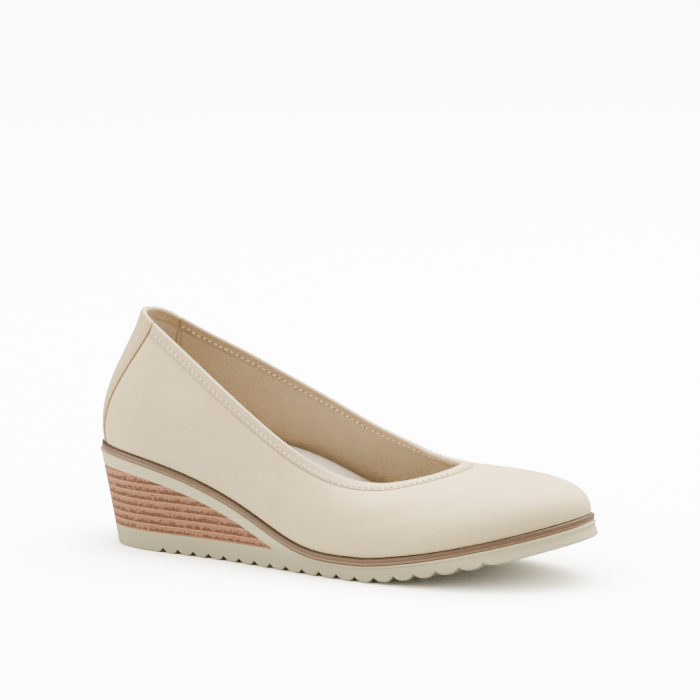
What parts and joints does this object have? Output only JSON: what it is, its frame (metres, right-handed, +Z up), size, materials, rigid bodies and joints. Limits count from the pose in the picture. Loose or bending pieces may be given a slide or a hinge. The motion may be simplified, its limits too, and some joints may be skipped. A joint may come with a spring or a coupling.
{
  "type": "wedge court shoe",
  "caption": "Closed-toe court shoe for the right foot on a low stacked wedge, with a bound collar, a back panel, a welt and a rippled sole.",
  "frame": {"origin": "centre of the bounding box in plan, on the ground plane the shoe stands on", "axes": "+X from heel to toe, +Y to the inner side of the right foot, +Z up"},
  "size_m": [0.247, 0.0856, 0.1094],
  "materials": {
    "upper": "matte, brushed nap",
    "binding": "matte",
    "back_panel": "matte stretch cloth",
    "welt": "satin",
    "sole": "matte",
    "insole": "matte",
    "wedge": "rough stacked edges"
  },
  "bodies": {
    "root": {"upper": "upper", "collar_binding": "binding", "back_panel": "back_panel", "welt": "welt", "sole_unit": "sole", "insole": "insole", "lift_1": "wedge", "lift_2": "wedge", "lift_3": "wedge", "lift_4": "wedge", "lift_5": "wedge", "lift_6": "wedge", "lift_7": "wedge"}
  },
  "joints": []
}
